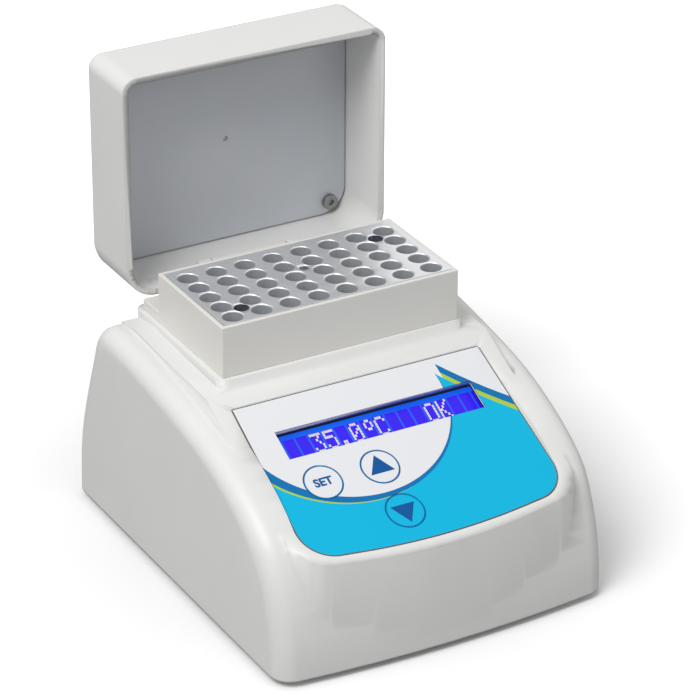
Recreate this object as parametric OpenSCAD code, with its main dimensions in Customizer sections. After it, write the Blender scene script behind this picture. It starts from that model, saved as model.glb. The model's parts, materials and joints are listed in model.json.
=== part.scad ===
// Small bench dry block heater: a moulded housing with a slanted key panel, an aluminium
// tube block in a pale surround, and a deep lid hinged behind the block.
// +X is the user's right, -Y is the front, +Z is up, and the lid is drawn open.

/* [Housing] */
// Width over the side walls
body_w = 104; // [100:1:112]
// Wall of the moulded housing
body_wall = 2.2; // [1.8:0.1:2.6]
// Round edge between the side walls and the top
edge_r = 5.5; // [4.5:0.5:7]
// How far the middle of the front stands before its corners
front_bow = 3.2; // [2:0.2:4]
// Height of the rubber feet
foot_h = 2; // [1.5:0.5:4]
// Radius of a rubber foot
foot_r = 6; // [4:0.5:7]
// Thickness of the base plate
plate_t = 2; // [1.6:0.2:3]
// Gap left round a piece that drops into the housing
fit_gap = 0.3; // [0.2:0.05:0.5]

/* [Panel] */
// Slope of the key panel, degrees
panel_tilt = 26; // [24:1:28]
// Place of the panel's top edge behind the front, from the origin
panel_y = -14; // [-15:0.5:-13]
// Height of the panel's top edge
panel_z = 59; // [58:0.5:60]
// Width of the printed overlay
overlay_w = 81; // [78:1:82]
// Length of the overlay down the slope
overlay_l = 55.6; // [54:0.2:56]
// Thickness of the overlay
overlay_t = 0.45; // [0.3:0.05:0.6]
// Width of the display opening
lcd_w = 62.2; // [58:0.2:64]
// Length of the display opening down the slope
lcd_l = 9.7; // [9:0.1:12]
// Place of the display opening's middle down the slope
lcd_v = 15.4; // [14.5:0.1:16]
// Radius of a membrane key
key_r = 5.6; // [5:0.1:6]
// Travel of a membrane key
key_travel = 0.4; // [0.2:0.1:0.6]

/* [Block] */
// Number of wells from left to right
well_cols = 8; // [6:1:8]
// Number of wells from front to back
well_rows = 5; // [4:1:5]
// Spacing of the wells from left to right
pitch_x = 9; // [8.8:0.1:9]
// Spacing of the wells from front to back
pitch_y = 6.72; // [6.6:0.02:6.74]
// Radius of a well
well_r = 2.95; // [2.6:0.05:3.05]
// Depth of a well
well_depth = 16; // [12:1:20]
// Place of the middle well behind the origin
well_y = 13; // [12.8:0.1:13.2]
// Height of the block's top face
block_top = 79.6; // [79:0.2:80.4]
// Height of the block
block_h = 27; // [25:1:28]
// Width of the surround
surround_w = 75; // [74.6:0.2:75.4]
// Front face of the surround, from the origin
surround_y0 = -5.6; // [-6:0.1:-5.4]
// Back face of the surround, from the origin
surround_y1 = 33.3; // [33:0.1:33.6]
// Wall of the surround
surround_wall = 1.3; // [1.2:0.1:1.4]
// Height of the ring that the surround stands on
plinth_top = 64; // [63.8:0.1:64.4]

/* [Lid] */
// Width of the lid
lid_w = 83.8; // [83.6:0.2:85]
// Length of the lid from its hinge side to its front
lid_l = 67.7; // [67:0.1:68.4]
// Depth of the lid
lid_d = 23.4; // [22.8:0.2:24]
// Wall of the lid
lid_wall = 2; // [1.8:0.1:2.2]
// Corner radius at the lid's front
lid_front_r = 4.5; // [3:0.5:6]
// Corner radius at the lid's hinge side
lid_rear_r = 9.5; // [8:0.5:10]
// Height of the hinge axis
hinge_z = 68.9; // [68.7:0.05:69]
// Place of the hinge axis behind the origin
hinge_y = 49.5; // [49.3:0.05:49.8]
// Radius of the hinge pin
pin_r = 1; // [0.8:0.1:1.1]
// Width of the housing's hinge tongue
tongue_w = 24; // [20:1:26]
// Radial clearance of the hinge pin in the lid's ears
pin_play = 0.05; // [0.02:0.01:0.09]

/* [Electrics] */
// Thickness of the circuit boards
board_t = 1.6; // [1.2:0.2:2]
// Height of the main board's underside
board_z = 14; // [13:0.5:16]
// Thickness of the heater plate
heater_t = 5; // [4.5:0.5:6]
// Radius of the temperature sensor
sensor_r = 1.5; // [1.2:0.1:1.6]
// Radius of the direct current socket's sleeve
jack_r = 4.5; // [4:0.1:5]
// Throw of the power rocker from off to on, degrees
rocker_throw = 16; // [12:1:20]

/* [Hidden] */
$fn = 48;
eps = 0.01;
hull_fn = 32;

side_x = body_w / 2;
plate_top = foot_h + plate_t;

// Side view of the housing, front foot to rear foot, as [y, z]
body_line = [[-64.4, foot_h], [-64, 10], [-62.6, 18], [-60, 26.5], [-54.9, 36.6], [-46.8, 43.4],
    [-36, 49.2], [-23.3, 54], [-7.7, 57.4], [14.3, 60.6], [34, 62.2], [42.5, 61.4], [47.4, 57.2],
    [50, 50.6], [54.4, 39], [58.6, 26.4], [60.8, 16], [61.6, foot_h]];
line_steps = 2;
arc_step = 18;
bow_from = -20;
bow_span = 25;

// Middle of the surround and of what stands under it
block_y = (surround_y0 + surround_y1) / 2;
surround_l = surround_y1 - surround_y0;
block_gap = 0.15;
block_w = surround_w - 2 * (surround_wall + block_gap);
block_l = surround_l - 2 * (surround_wall + block_gap);
block_z0 = block_top - block_h;
heater_z0 = block_z0 - heater_t;
plinth_rim = 1.4;
plinth_w = surround_w + 2 * plinth_rim;
plinth_y0 = surround_y0 - plinth_rim;
plinth_y1 = 46;
plinth_z0 = 58;
ledge_y1 = 43;
ledge_top = 67.4;

// Block fixing screws stand between the wells at two opposite corners
screw_spots = [[-3 * pitch_x, -1.5 * pitch_y], [3 * pitch_x, 1.5 * pitch_y]];
block_screw_r = 1.5;
block_head_r = 2.2;
block_head_h = 3;
hole_play = 0.1;
small_bore_y = well_y + pitch_y / 2;
small_bore_r = 1.25;
small_bore_deep = 10;
head_deep = 12;
hex_r = 1.25;
screw_bite = 4;

// Raised saddle that carries the panel and the plinth
saddle_w = 89;
saddle_corner = 10;
saddle_front = -67.4;
saddle_back = 45;
saddle_lap = 2;
deck_front = body_line[9];
deck_back = body_line[10];
deck_end = [saddle_back - saddle_lap, 61];
saddle_bow = 3;
saddle_span = 2 * (saddle_w / 2 - saddle_corner);
saddle_bow_r = (saddle_span * saddle_span / 4 + saddle_bow * saddle_bow) / (2 * saddle_bow);
saddle_z0 = 5;
saddle_rise = 0.8;
recess_d = 0.6;
overlay_corner = 10;
overlay_bow = 2.2;
overlay_taper = 1.2;
overlay_span = overlay_w - 2 * overlay_corner;
overlay_bow_r = (overlay_span * overlay_span / 4 + overlay_bow * overlay_bow) / (2 * overlay_bow);

// Keys as [across, down the slope]
set_spot = [-25.5, 29.9];
up_spot = [-7.8, 29.9];
down_spot = [-7.8, 45.3];
key_spots = [set_spot, up_spot, down_spot];
key_hole_gap = 0.15;
key_stem_r = 1.8;
key_stem_h = 4.2;
switch_w = 6;
switch_h = 3.6;
button_r = 1.6;
button_h = 0.9;
button_gap = 0.05;
board_drop = recess_d + key_stem_h + key_travel + button_gap + button_h + switch_h;
display_board_w = 84;
display_board_l = 46;
frame_w = lcd_w + 8.8;
frame_l = lcd_l + 12.3;
frame_top = -body_wall - fit_gap;
glass_t = 1.1;
glass_deep = 0.6;
glass_lap = 0.8;

// Screws that hold the housing to its base plate
case_boss_r = 3.5;
case_boss_x = side_x - body_wall - case_boss_r + 0.5;
case_boss_y = 40;
case_boss_top = 25;
plate_gap = 0.5;
plate_in = body_wall + plate_gap;
plate_y0 = body_line[0][0] + plate_in;
plate_y1 = body_line[len(body_line) - 1][0] - plate_in;
plate_corner = 5;
slot_w = 3;
slot_l = 26;
slot_x = 18;
slot_pitch = 8;
case_screw_r = 1.3;
case_screw_l = 14;
case_head_r = 2.7;
case_head_h = 1.5;
foot_x = 38;
foot_y = 49;

foot_t = 2.4;
tongue_y0 = 38.4;
tongue_l = 7.2;
tongue_root = 1.6;
tongue_gap = 0.2;
tongue_screw_x = 8;
tongue_screw_y = tongue_y0 + 2.6;
tongue_screw_r = 1.2;
tongue_head_r = 2.3;
tongue_screw_l = 9;
pin_fit = 0.02;

lid_y0 = 44.1;
lid_y1 = lid_y0 + lid_d;
lid_z0 = 67.1;
lid_z1 = lid_z0 + lid_l;
lid_edge_r = 3;
liner_t = 1;
liner_gap = 0.4;
lid_foam_t = 1.2;
liner_y0 = lid_y1 - lid_wall - lid_foam_t - liner_t;
barrel_r = pin_r + 1.2;
ear_t = 4;
ear_gap = 0.4;
notch_w = tongue_w + 2 * ear_gap;
ear_r = barrel_r + 0.2;
pin_l = tongue_w + 2 * (ear_gap + ear_t);
liner_screw_x = lid_w / 2 - 7.8;
liner_screw_z = [lid_z0 + 6.4, lid_z1 - 7];
liner_screw_end = lid_y1 - 1.2;
liner_screw_r = 1;
liner_head_r = 2.3;
liner_boss_r = 2.6;

heater_in = 1.5;
heater_w = block_w - 2 * heater_in;
heater_l = block_l - 2 * heater_in;
post_r = 2.8;
post_screw_r = 1.3;
post_head_r = 2.3;
post_head_h = 1.8;
post_in_x = 3.4;
post_in_y = 4;
post_x = heater_w / 2 - post_in_x;
post_dy = heater_l / 2 - post_in_y;
core_z = heater_z0 + heater_t / 2;
sensor_play = 0.05;
sensor_x0 = 20;
sensor_x1 = heater_w / 2 + 1.5;
pad_w = 52;
cutout_x = pad_w / 2 + 1.6;
cutout_w = 7;
cutout_l = 10;
cutout_h = 4;
pad_l = 20;
pad_t = 1.2;
foam_t = 8;
board_side_gap = 4.8;
board_w = 2 * (case_boss_x - board_side_gap);
board_l = 76;
board_y = 4;
board_top = board_z + board_t;
standoff_r = 2.5;
standoff_in = 4;
standoff_x = board_w / 2 - standoff_in;
standoff_dy = board_l / 2 - standoff_in - 1;
board_screw_r = 1.2;
cap_r = 4;
sink_x = -30;
sink_y = 36.4;
sink_w = 22;
sink_t = 1.8;
sink_fins = 5;
lead_x = sensor_x1 + 5;
lead_z = heater_z0 - 17.6;
fin_t = 1.6;
heater_plug = [-8, -30];
display_plug = [24, -30];
sensor_plug = [standoff_x - 2, -12];
power_plug = [2 - standoff_x, 8];
plug_w = 8;
plug_l = 6;
plug_h = 6;
plug_floor = 2;

socket_x = 22;
socket_z = 19;
rear_pad_y = 61.4;
rear_pad_r = 8;
rear_pad_t = 8;
rear_pad_in = 6;
switch_lip = 1.3;
switch_deep = 15;
rocker_y = rear_pad_y - 2.6;
switch_x = -20;
switch_w_out = 21;
switch_h_out = 15;
rocker_w = 13;
rocker_r = 6.2;
rocker_pin_r = 1;
rocker_off = -rocker_throw / 2;

// Catmull-Rom point between p[1] and p[2]
function curve_point(p, t) = 0.5 * (2 * p[1] + (p[2] - p[0]) * t
    + (2 * p[0] - 5 * p[1] + 4 * p[2] - p[3]) * t * t
    + (3 * p[1] - p[0] - 3 * p[2] + p[3]) * t * t * t);
function clamp(v, low, high) = min(max(v, low), high);
function curve_through(points, steps) = let (n = len(points)) [
    for (i = [0 : n - 2], k = [0 : steps - 1])
        curve_point([points[max(i - 1, 0)], points[i], points[i + 1], points[min(i + 2, n - 1)]],
            k / steps),
    points[n - 1]];
// Left-hand normal of a line at point i, flat at both feet
function normal_at(line, i) = let (n = len(line))
    i == 0 ? [-1, 0] : i == n - 1 ? [1, 0]
    : let (d = line[i + 1] - line[i - 1]) [-d[1], d[0]] / norm(d);
function bow_at(x, y) = front_bow * (1 - pow(x / side_x, 2)) * clamp((bow_from - y) / bow_span, 0, 1);

// Rounded skin of the housing, moved inwards by inset, with its feet lowered by drop
module body_skin(inset, drop) {
    line = curve_through(body_line, line_steps);
    cols = len(line);
    r = edge_r - inset;
    flat = side_x - edge_r;
    arc = [for (a = [90 : -arc_step : arc_step]) [flat + r * sin(a), inset + r * (1 - cos(a))]];
    mid = [for (k = [4 : -1 : 1]) [flat * k / 4, inset]];
    half = concat(arc, mid);
    rows = concat([for (h = half) [-h[0], h[1]]], [[0, inset]],
        [for (k = [len(half) - 1 : -1 : 0]) half[k]]);
    points = [for (row = rows, i = [0 : cols - 1])
        let (p = line[i] - row[1] * normal_at(line, i),
            low = i == 0 || i == cols - 1 ? drop : 0)
        [row[0], p[0] - bow_at(row[0], p[0]), p[1] - low]];
    last = len(rows) - 1;
    faces = concat(
        [[for (i = [cols - 1 : -1 : 0]) i]],
        [[for (i = [0 : cols - 1]) last * cols + i]],
        [for (k = [0 : last - 1], i = [0 : cols - 1])
            let (j = (i + 1) % cols) [k * cols + i, (k + 1) * cols + j, (k + 1) * cols + i]],
        [for (k = [0 : last - 1], i = [0 : cols - 1])
            let (j = (i + 1) % cols) [k * cols + i, k * cols + j, (k + 1) * cols + j]]);
    polyhedron(points, faces);
}

// Plan of the saddle: straight sides, round front corners and a bowed front
module saddle_plan(inset) {
    r = saddle_corner - inset;
    x = saddle_w / 2 - saddle_corner;
    front = saddle_front + inset;
    hull() {
        for (s = [-1, 1]) translate([s * x, saddle_front + saddle_bow + saddle_corner]) circle(r);
        intersection() {
            translate([0, saddle_front + saddle_bow_r]) circle(saddle_bow_r - inset, $fn = 360);
            translate([-x, front - 1]) square([2 * x, 20]);
        }
        translate([-saddle_w / 2 + inset, 0]) square([saddle_w - 2 * inset, saddle_back - inset]);
    }
}

// Height of the panel's plane at a place y
function panel_at(y) = panel_z + (y - panel_y) * tan(panel_tilt);

module saddle(inset) {
    lead = 12;
    y_far = saddle_front - lead;
    y_top = panel_y + 4.6;
    lift = inset / cos(panel_tilt);
    intersection() {
        translate([0, 0, saddle_z0 - inset]) linear_extrude(plinth_top) saddle_plan(inset);
        rotate([90, 0, 90]) translate([0, 0, -saddle_w]) linear_extrude(2 * saddle_w)
            polygon([[y_far, 0], [y_far, panel_at(y_far) - lift], [y_top, panel_at(y_top) - lift],
                deck_front + [0, saddle_rise + 0.6 - inset], deck_back + [0, saddle_rise - inset],
                deck_end + [0, saddle_rise - inset], [deck_end[0], 0]]);
    }
}

// Rectangle with one corner radius at its low side and one at its high side
module two_radius_plan(w, z0, z1, r_low, r_high) {
    hull() {
        for (s = [-1, 1]) {
            translate([s * (w / 2 - r_low), z0 + r_low]) circle(r_low, $fn = hull_fn * 2);
            translate([s * (w / 2 - r_high), z1 - r_high]) circle(r_high, $fn = hull_fn * 2);
        }
    }
}

module rounded_plate(w, y0, y1, r, h) {
    linear_extrude(h) union() {
        translate([-w / 2 + r, y0]) square([w - 2 * r, y1 - y0]);
        translate([-w / 2, y0 + r]) square([w, y1 - y0 - 2 * r]);
        for (sx = [-1, 1], y = [y0 + r, y1 - r]) translate([sx * (w / 2 - r), y]) circle(r);
    }
}

// Place x across, v down the slope and n outwards from the panel's plane
function panel_point(x, v, n) = [x, panel_y - v * cos(panel_tilt) - n * sin(panel_tilt),
    panel_z - v * sin(panel_tilt) + n * cos(panel_tilt)];

// Moves children's local frame onto the panel: +X across, -Y down the slope, +Z outwards
module on_panel() {
    translate([0, panel_y, panel_z]) rotate([panel_tilt, 0, 0]) children();
}

// Extrudes a plan drawn in x and z from y0 to y1
module along_y(y0, y1) {
    translate([0, y1, 0]) rotate([90, 0, 0]) linear_extrude(y1 - y0) children();
}

// A round bar along x
module bar_x(x0, x1, r) {
    translate([x0, 0, 0]) rotate([0, 90, 0]) cylinder(h = x1 - x0, r = r);
}

// A stiff lead through points, one straight run after another
module lead(points, r) {
    last = len(points) - 2;
    for (i = [0 : last]) {
        d = points[i + 1] - points[i];
        back = i == 0 ? 0 : r / 2;
        front = i == last ? 0 : r / 2;
        translate(points[i]) rotate([0, acos(d[2] / norm(d)), atan2(d[1], d[0])])
            translate([0, 0, -back]) cylinder(h = norm(d) + back + front, r = r, $fn = 6);
    }
}

// Down into the plug at p, dx across and dy along from its middle
function into_plug(p, dx, dy) = [for (z = [8, plug_floor + 0.1]) [p[0] + dx, p[1] + dy, board_top + z]];

module overlay_plan(inset) {
    r = overlay_corner - inset;
    x = overlay_w / 2 - overlay_corner;
    hull() {
        for (s = [-1, 1]) {
            translate([s * x, -overlay_l + overlay_bow + overlay_corner]) circle(r);
            translate([s * (overlay_w / 2 - overlay_taper - 0.8), -0.8]) circle(0.8 - inset);
        }
        intersection() {
            translate([0, -overlay_l + overlay_bow_r]) circle(overlay_bow_r - inset, $fn = 360);
            translate([-x, -overlay_l - 1]) square([2 * x, 10]);
        }
    }
}

module lcd_opening(grow) {
    translate([-lcd_w / 2 - grow, -lcd_v - lcd_l / 2 - grow]) square([lcd_w + 2 * grow, lcd_l + 2 * grow]);
}

module upper_housing() {
    color([0.83, 0.83, 0.81]) difference() {
        union() {
            body_skin(0, 0);
            saddle(0);
            translate([0, 0, plinth_z0])
                rounded_plate(plinth_w, plinth_y0, plinth_y1, 3, plinth_top - plinth_z0);
            rear_pads(rear_pad_y, 0);
        }
        difference() {
            union() {
                body_skin(body_wall, 1);
                saddle(body_wall);
            }
            case_bosses();
            rear_pads(rear_pad_y - 1, rear_pad_t - rear_pad_in + 1);
        }
        // opening that the block and the surround's collar go through
        translate([-block_w / 2 - block_gap, surround_y0 + surround_wall, plinth_z0 - 10])
            cube([block_w + 2 * block_gap, block_l + 2 * block_gap, 20]);
        on_panel() {
            translate([0, 0, -recess_d]) linear_extrude(10) overlay_plan(-fit_gap);
            translate([0, 0, -6]) linear_extrude(7) lcd_opening(0.2);
            for (s = key_spots) translate([s[0], -s[1], -6]) cylinder(h = 7, r = key_r + fit_gap);
        }
        for (sx = [-1, 1], sy = [-1, 1])
            translate([sx * case_boss_x, sy * case_boss_y, 0]) cylinder(h = 20, r = case_screw_r + hole_play);
        translate([socket_x, 40, socket_z]) rotate([-90, 0, 0]) cylinder(h = 40, r = jack_r + hole_play);
        translate([switch_x - switch_w_out / 2 + switch_lip - fit_gap, 40,
            socket_z - switch_h_out / 2 + switch_lip - fit_gap])
            cube([switch_w_out - 2 * (switch_lip - fit_gap), 40, switch_h_out - 2 * (switch_lip - fit_gap)]);
        for (s = [-1, 1])
            translate([s * tongue_screw_x, tongue_screw_y, plinth_z0 - 6])
                cylinder(h = 20, r = tongue_screw_r + sensor_play);
    }
}

// Flat pads on the rear wall for the socket and the switch
module rear_pads(y1, shrink) {
    translate([socket_x, y1, socket_z]) rotate([90, 0, 0]) cylinder(h = rear_pad_t - shrink, r = rear_pad_r);
    translate([switch_x - switch_w_out / 2 - 1, y1 - rear_pad_t + shrink, socket_z - switch_h_out / 2 - 1])
        cube([switch_w_out + 2, rear_pad_t - shrink, switch_h_out + 2]);
}

module case_bosses() {
    for (sx = [-1, 1], sy = [-1, 1]) translate([sx * case_boss_x, sy * case_boss_y, plate_top])
        cylinder(h = case_boss_top - plate_top, r = case_boss_r);
}

module base_plate() {
    color([0.8, 0.8, 0.78]) difference() {
        translate([0, 0, foot_h])
            rounded_plate(body_w - 2 * plate_in, plate_y0, plate_y1, plate_corner, plate_t);
        for (sx = [-1, 1], k = [-3 : 3])
            translate([sx * slot_x - slot_l / 2, k * slot_pitch - slot_w / 2, foot_h - eps])
                cube([slot_l, slot_w, plate_t + 2 * eps]);
        for (sx = [-1, 1], sy = [-1, 1]) translate([sx * case_boss_x, sy * case_boss_y, foot_h]) {
            translate([0, 0, -eps]) cylinder(h = plate_t + 1, r = case_screw_r + fit_gap);
            translate([0, 0, -eps])
                cylinder(h = case_head_h, r1 = case_head_r + hole_play, r2 = case_screw_r + fit_gap);
        }
    }
}

module rubber_feet() {
    color([0.2, 0.2, 0.2])
        for (sx = [-1, 1], sy = [-1, 1]) translate([sx * foot_x, sy * foot_y, 0]) difference() {
            cylinder(h = foot_h, r1 = foot_r - 0.4, r2 = foot_r);
            translate([0, 0, -eps]) cylinder(h = 0.8, r = foot_r / 2);
        }
}

module base_screws() {
    color("silver")
        for (sx = [-1, 1], sy = [-1, 1]) translate([sx * case_boss_x, sy * case_boss_y, foot_h]) {
            cylinder(h = case_head_h - hole_play, r1 = case_head_r, r2 = case_screw_r);
            cylinder(h = case_screw_l, r = case_screw_r);
        }
}

module block_surround() {
    color([0.87, 0.86, 0.84]) {
        difference() {
            union() {
                translate([-surround_w / 2, surround_y0, plinth_top])
                    cube([surround_w, surround_l, block_top - plinth_top]);
                translate([-surround_w / 2, surround_y1 - 1, plinth_top])
                    cube([surround_w, ledge_y1 - surround_y1 + 1, ledge_top - plinth_top]);
            }
            translate([-block_w / 2 - block_gap, surround_y0 + surround_wall, plinth_top - 1])
                cube([block_w + 2 * block_gap, block_l + 2 * block_gap, block_top]);
            translate([-tongue_w / 2 - tongue_gap, tongue_y0 - 2 * tongue_gap, plinth_top - 1])
                cube([tongue_w + 2 * tongue_gap, 20, 20]);
        }
    }
}

module hinge_tongue() {
    color([0.85, 0.84, 0.82]) difference() {
        union() {
            translate([-tongue_w / 2, tongue_y0, plinth_top]) cube([tongue_w, tongue_l, foot_t]);
            hull() {
                translate([-tongue_w / 2, tongue_y0 + tongue_l - tongue_root, plinth_top])
                    cube([tongue_w, tongue_root, foot_t]);
                translate([0, hinge_y, hinge_z]) bar_x(-tongue_w / 2, tongue_w / 2, barrel_r, $fn = hull_fn);
            }
        }
        translate([0, hinge_y, hinge_z]) bar_x(-tongue_w, tongue_w, pin_r + pin_fit);
        for (s = [-1, 1]) translate([s * tongue_screw_x, tongue_screw_y, plinth_top - 1])
            cylinder(h = 10, r = tongue_screw_r + 2 * hole_play);
    }
}

module hinge_screws() {
    color("silver") for (s = [-1, 1]) translate([s * tongue_screw_x, tongue_screw_y, plinth_top + foot_t]) {
        cylinder(h = 1.4, r = tongue_head_r);
        translate([0, 0, -tongue_screw_l]) cylinder(h = tongue_screw_l + 0.2, r = tongue_screw_r);
    }
}

module hinge_pin() {
    color("silver") translate([0, hinge_y, hinge_z]) bar_x(-pin_l / 2, pin_l / 2, pin_r);
}

module lid_shell() {
    soft = lid_edge_r;
    color([0.85, 0.85, 0.84]) difference() {
        union() {
            difference() {
                hull() {
                    along_y(lid_y0, lid_y1 - soft)
                        two_radius_plan(lid_w, lid_z0, lid_z1, lid_rear_r, lid_front_r);
                    for (a = [30, 60, 90]) {
                        in = soft * (1 - cos(a));
                        along_y(lid_y1 - soft, lid_y1 - soft + soft * sin(a))
                            two_radius_plan(lid_w - 2 * in, lid_z0 + in, lid_z1 - in,
                                lid_rear_r - in, lid_front_r - in);
                    }
                }
                along_y(lid_y0 - 1, lid_y1 - lid_wall) two_radius_plan(lid_w - 2 * lid_wall,
                    lid_z0 + lid_wall, lid_z1 - lid_wall, lid_rear_r - lid_wall, lid_front_r - lid_wall);
            }
            intersection() {
                translate([0, hinge_y, hinge_z]) for (s = [-1, 1])
                    translate([s * (notch_w / 2 + ear_t / 2), 0, 0]) bar_x(-ear_t / 2, ear_t / 2, ear_r);
                translate([-lid_w / 2, 0, lid_z0]) cube([lid_w, lid_l, 20]);
            }
            for (sx = [-1, 1], z = liner_screw_z)
                translate([sx * liner_screw_x, lid_y1 - 1, z]) rotate([90, 0, 0])
                    cylinder(h = lid_y1 - 1 - liner_y0 - liner_t, r = liner_boss_r);
        }
        translate([-notch_w / 2, lid_y0 - 1, lid_z0 - 1])
            cube([notch_w, hinge_y - lid_y0 + 1 + barrel_r + ear_gap, lid_wall + 1.4]);
        translate([0, hinge_y, hinge_z]) bar_x(-pin_l, pin_l, pin_r + pin_play);
        for (sx = [-1, 1], z = liner_screw_z)
            translate([sx * liner_screw_x, liner_screw_end, z]) rotate([90, 0, 0])
                cylinder(h = 10, r = liner_screw_r + hole_play);
    }
}

module liner_plan(gap) {
    g = lid_wall + liner_gap + gap;
    two_radius_plan(lid_w - 2 * g, lid_z0 + g, lid_z1 - g, lid_rear_r - g + 1, lid_front_r - lid_wall);
}

module lid_insulation() {
    color([0.95, 0.95, 0.9]) difference() {
        along_y(liner_y0 + liner_t, lid_y1 - lid_wall) liner_plan(1);
        for (sx = [-1, 1], z = liner_screw_z)
            translate([sx * liner_screw_x, lid_y1, z]) rotate([90, 0, 0])
                cylinder(h = 20, r = liner_boss_r + liner_gap);
    }
}

module lid_liner() {
    color([0.68, 0.69, 0.7]) difference() {
        along_y(liner_y0, liner_y0 + liner_t) liner_plan(0);
        for (sx = [-1, 1], z = liner_screw_z)
            translate([sx * liner_screw_x, lid_y1, z]) rotate([90, 0, 0])
                cylinder(h = 20, r = liner_screw_r + liner_gap);
        translate([0, lid_y1, (lid_z0 + lid_z1) / 2]) rotate([90, 0, 0]) cylinder(h = 20, r = 0.8);
    }
}

module liner_screws() {
    color("silver") for (sx = [-1, 1], z = liner_screw_z)
        translate([sx * liner_screw_x, liner_y0, z]) rotate([90, 0, 0]) {
            difference() {
                cylinder(h = 1.6, r = liner_head_r);
                translate([0, 0, 0.7]) cylinder(h = 2, r = liner_screw_r, $fn = 6);
            }
            translate([0, 0, liner_y0 - liner_screw_end + 0.2])
                cylinder(h = liner_screw_end - liner_y0, r = liner_screw_r);
        }
}

// One well: bevelled mouth, straight wall and drilled point
module well() {
    bevel = 0.35;
    rotate_extrude() polygon([[0, 1], [well_r + bevel + 1, 1], [well_r, -bevel], [well_r, -well_depth],
        [0, -well_depth - well_r * 0.6]]);
}

module heating_block() {
    color([0.75, 0.76, 0.78]) difference() {
        translate([-block_w / 2, block_y - block_l / 2, block_z0]) cube([block_w, block_l, block_h]);
        for (c = [0 : well_cols - 1], r = [0 : well_rows - 1])
            translate([(c - (well_cols - 1) / 2) * pitch_x, well_y + (r - (well_rows - 1) / 2) * pitch_y,
                block_top]) well();
        for (s = screw_spots) translate([s[0], well_y + s[1], 0]) {
            translate([0, 0, block_top - head_deep]) cylinder(h = head_deep + 1, r = block_head_r);
            translate([0, 0, block_z0 - 1]) cylinder(h = block_h, r = block_screw_r + hole_play);
        }
        translate([0, small_bore_y, block_top - small_bore_deep])
            cylinder(h = small_bore_deep + 1, r = small_bore_r);
    }
}

module block_screws() {
    color([0.35, 0.35, 0.37]) for (s = screw_spots) translate([s[0], well_y + s[1], 0]) {
        translate([0, 0, block_top - head_deep]) difference() {
            cylinder(h = block_head_h, r = block_head_r - hole_play);
            translate([0, 0, block_head_h / 2]) cylinder(h = 4, r = hex_r, $fn = 6);
        }
        translate([0, 0, block_z0 - screw_bite])
            cylinder(h = block_h - head_deep + screw_bite + 0.2, r = block_screw_r);
    }
}

module heater_plate() {
    color([0.72, 0.73, 0.75]) difference() {
        translate([-heater_w / 2, block_y - heater_l / 2, heater_z0]) cube([heater_w, heater_l, heater_t]);
        for (s = screw_spots) translate([s[0], well_y + s[1], heater_z0 - 1])
            cylinder(h = 20, r = block_screw_r + hole_play);
        for (sx = [-1, 1], sy = [-1, 1]) translate([sx * post_x, block_y + sy * post_dy, 0]) {
            translate([0, 0, heater_z0 - 1]) cylinder(h = 20, r = post_screw_r + hole_play);
            translate([0, 0, heater_z0 + heater_t - post_head_h - hole_play])
                cylinder(h = 20, r = post_head_r + hole_play);
        }
        translate([0, block_y, core_z]) bar_x(sensor_x0 - 2, heater_w, sensor_r + sensor_play);
    }
}

module heater_pad() {
    color([0.8, 0.35, 0.2]) translate([-pad_w / 2, block_y - pad_l / 2, heater_z0 - pad_t])
        cube([pad_w, pad_l, pad_t]);
}

module under_insulation() {
    color([0.93, 0.92, 0.86]) translate([-pad_w / 2, block_y - pad_l / 2, heater_z0 - pad_t - foam_t])
        cube([pad_w, pad_l, foam_t]);
}

module heater_posts() {
    color("silver") for (sx = [-1, 1], sy = [-1, 1])
        translate([sx * post_x, block_y + sy * post_dy, plate_top]) difference() {
            cylinder(h = heater_z0 - plate_top, r = post_r);
            translate([0, 0, heater_z0 - plate_top - 8]) cylinder(h = 9, r = post_screw_r + sensor_play);
        }
}

module post_screws() {
    color("silver") for (sx = [-1, 1], sy = [-1, 1])
        translate([sx * post_x, block_y + sy * post_dy, heater_z0 + heater_t - post_head_h - hole_play]) {
            cylinder(h = post_head_h, r = post_head_r);
            translate([0, 0, -9]) cylinder(h = 9.2, r = post_screw_r);
        }
}

module temperature_sensor() {
    color([0.6, 0.6, 0.62]) translate([0, block_y, core_z]) bar_x(sensor_x0, sensor_x1, sensor_r);
}

module thermal_cutout() {
    color([0.25, 0.25, 0.27]) {
        translate([cutout_x, block_y - cutout_l / 2, heater_z0 - cutout_h])
            cube([cutout_w, cutout_l, cutout_h]);
        for (s = [-1, 1])
            translate([cutout_x + 2, block_y + s * (cutout_l / 2 + 1.6) - 1.6, heater_z0 - 2.4])
                cube([3, 3.2, 0.6]);
    }
}

module board_holes(r_post) {
    for (sx = [-1, 1], sy = [-1, 1]) {
        translate([sx * post_x, block_y + sy * post_dy, 0]) cylinder(h = 40, r = r_post);
        translate([sx * standoff_x, board_y + sy * standoff_dy, 0])
            cylinder(h = 40, r = board_screw_r + fit_gap);
    }
}

module main_board() {
    color([0.1, 0.4, 0.22]) difference() {
        translate([-board_w / 2, board_y - board_l / 2, board_z]) cube([board_w, board_l, board_t]);
        board_holes(post_r + 0.6);
    }
}

module board_standoffs() {
    color([0.78, 0.66, 0.35]) for (sx = [-1, 1], sy = [-1, 1])
        translate([sx * standoff_x, board_y + sy * standoff_dy, plate_top]) difference() {
            cylinder(h = board_z - plate_top, r = standoff_r);
            translate([0, 0, 3]) cylinder(h = 20, r = board_screw_r + sensor_play);
        }
}

module board_screws() {
    color("silver") for (sx = [-1, 1], sy = [-1, 1])
        translate([sx * standoff_x, board_y + sy * standoff_dy, board_z + board_t]) {
            cylinder(h = 1.6, r = 2.4);
            translate([0, 0, -6]) cylinder(h = 6.2, r = board_screw_r);
        }
}

module board_capacitors() {
    color([0.15, 0.2, 0.35]) for (p = [[14, 33], [25, 37], [3, 36]])
        translate([p[0], p[1], board_top]) cylinder(h = 13, r = cap_r);
}

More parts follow.
